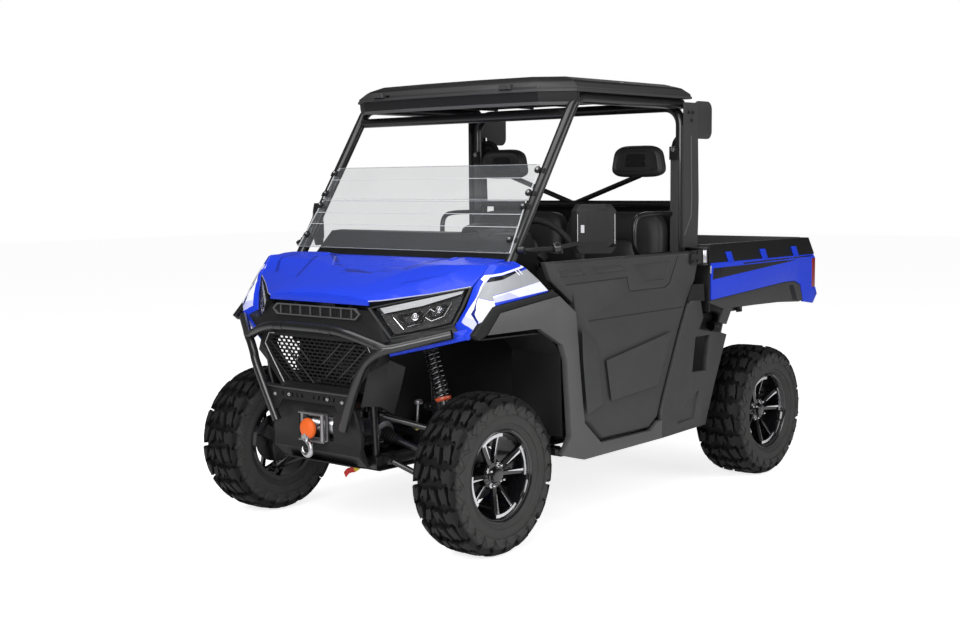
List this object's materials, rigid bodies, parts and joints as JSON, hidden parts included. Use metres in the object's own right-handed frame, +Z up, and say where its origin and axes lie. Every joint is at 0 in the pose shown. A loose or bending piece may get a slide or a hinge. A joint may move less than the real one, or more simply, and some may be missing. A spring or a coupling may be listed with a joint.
{
  "type": "side by side utility vehicle",
  "caption": "Open two-seat utility vehicle with a roll cage, roof, windshield, doors, tilting load bed with tailgate, tube guard and winch.",
  "frame": {"origin": "centre of the outline on the ground", "axes": "-Y forward, +X to the vehicle's left, +Z up"},
  "size_m": [1.8362, 3.0284, 1.955],
  "materials": {
    "gloss_blue": "gloss",
    "grey_plastic": "matte",
    "black_plastic": "matte",
    "black_steel": "satin",
    "bare_steel": "satin",
    "cast_metal": "rough",
    "alloy_black": "machined",
    "tyre_rubber": "matte",
    "clear_pane": "clear",
    "lamp_lens": "clear",
    "red_lens": "gloss",
    "seat_cover": "matte",
    "belt_web": "matte",
    "grip_rubber": "matte",
    "orange_rubber": "matte"
  },
  "bodies": {
    "vehicle": {"chassis_frame": "black_steel", "frame_towers": "black_steel", "skid_plates": "black_plastic", "cab_floor": "black_plastic", "engine_block": "cast_metal", "front_differential": "cast_metal", "half_shafts": "bare_steel", "control_arms": "black_steel", "shock_absorbers": "black_steel", "coil_springs": "bare_steel", "rear_knuckles": "cast_metal", "front_fenders": "gloss_blue", "nose_fascia": "black_plastic", "grille": "black_plastic", "radiator": "alloy_black", "headlamp_housings": "black_plastic", "headlamp_lenses": "lamp_lens", "bumper_guard": "black_steel", "bumper_skid": "black_plastic", "winch": "bare_steel", "winch_hook": "orange_rubber", "windshield_panes": "clear_pane", "cage_front": "black_steel", "cage_rear": "black_steel", "pillar_cladding": "black_steel", "roof": "black_plastic", "dashboard": "black_plastic", "seat_box": "black_plastic", "seat_cushions": "seat_cover", "seat_backs": "seat_cover", "headrests": "seat_cover", "seat_tubes": "black_steel", "seat_belts": "belt_web", "rear_wall": "black_plastic", "mirrors": "black_plastic", "side_panels": "grey_plastic", "rear_side_panels": "grey_plastic", "wheel_liners": "black_plastic", "muffler": "bare_steel", "hitch": "black_steel"},
    "knuckle_left": {"knuckle_left": "cast_metal"},
    "knuckle_right": {"knuckle_right": "cast_metal"},
    "wheel_front_left": {"tyre_front_left": "tyre_rubber", "rim_front_left": "alloy_black"},
    "wheel_front_right": {"tyre_front_right": "tyre_rubber", "rim_front_right": "alloy_black"},
    "wheel_rear_left": {"tyre_rear_left": "tyre_rubber", "rim_rear_left": "alloy_black"},
    "wheel_rear_right": {"tyre_rear_right": "tyre_rubber", "rim_rear_right": "alloy_black"},
    "rack": {"steering_rack": "black_steel"},
    "hand_wheel": {"steering_wheel": "grip_rubber"},
    "left_door": {"door_left": "grey_plastic"},
    "right_door": {"door_right": "grey_plastic"},
    "bonnet": {"hood": "gloss_blue"},
    "bed": {"bed_tub": "black_plastic", "bed_side_panels": "gloss_blue", "bed_flares": "grey_plastic", "tail_lamps": "red_lens"},
    "gate": {"tailgate": "grey_plastic"}
  },
  "joints": [
    {"name": "steer_left", "type": "hinge", "parent": "vehicle", "child": "knuckle_left", "pos_m": [0.6, -1.1255, 0.33], "axis": [0, 0, 1], "range_deg": [-32, 32]},
    {"name": "steer_right", "type": "hinge", "parent": "vehicle", "child": "knuckle_right", "pos_m": [-0.6, -1.1255, 0.33], "axis": [0, 0, 1], "range_deg": [-32, 32]},
    {"name": "spin_front_left", "type": "hinge", "parent": "knuckle_left", "child": "wheel_front_left", "pos_m": [0.66, -1.1255, 0.33], "axis": [1, 0, 0], "continuous": true},
    {"name": "spin_front_right", "type": "hinge", "parent": "knuckle_right", "child": "wheel_front_right", "pos_m": [-0.66, -1.1255, 0.33], "axis": [1, 0, 0], "continuous": true},
    {"name": "spin_rear_left", "type": "hinge", "parent": "vehicle", "child": "wheel_rear_left", "pos_m": [0.66, 0.9445, 0.33], "axis": [1, 0, 0], "continuous": true},
    {"name": "spin_rear_right", "type": "hinge", "parent": "vehicle", "child": "wheel_rear_right", "pos_m": [-0.66, 0.9445, 0.33], "axis": [1, 0, 0], "continuous": true},
    {"name": "rack_slide", "type": "slide", "parent": "vehicle", "child": "rack", "axis": [1, 0, 0], "range_m": [-0.0425, 0.0425]},
    {"name": "hand_wheel_turn", "type": "hinge", "parent": "vehicle", "child": "hand_wheel", "pos_m": [0.33, -0.3055, 1.165], "axis": [0, 0.9063, 0.4226], "range_deg": [-270, 270]},
    {"name": "left_door_swing", "type": "hinge", "parent": "vehicle", "child": "left_door", "pos_m": [0.748, 0.3755, 1.143], "axis": [0, 0, 1], "range_deg": [0, 75]},
    {"name": "right_door_swing", "type": "hinge", "parent": "vehicle", "child": "right_door", "pos_m": [-0.748, 0.3755, 1.143], "axis": [0, 0, -1], "range_deg": [0, 75]},
    {"name": "bonnet_lift", "type": "hinge", "parent": "vehicle", "child": "bonnet", "pos_m": [0, -1.3935, 1.016], "axis": [1, 0, 0], "range_deg": [0, 60]},
    {"name": "bed_tilt", "type": "hinge", "parent": "vehicle", "child": "bed", "pos_m": [0, 1.3495, 0.808], "axis": [-1, 0, 0], "range_deg": [0, 45]},
    {"name": "gate_drop", "type": "hinge", "parent": "bed", "child": "gate", "pos_m": [0, 1.4995, 0.87], "axis": [-1, 0, 0], "range_deg": [0, 90]}
  ],
  "couplings": [
    {"joint": "steer_right", "follows": "steer_left", "ratio": 1},
    {"joint": "rack_slide", "follows": "steer_left", "m_per_rad": -0.0759},
    {"joint": "hand_wheel_turn", "follows": "steer_left", "ratio": 8.4}
  ]
}
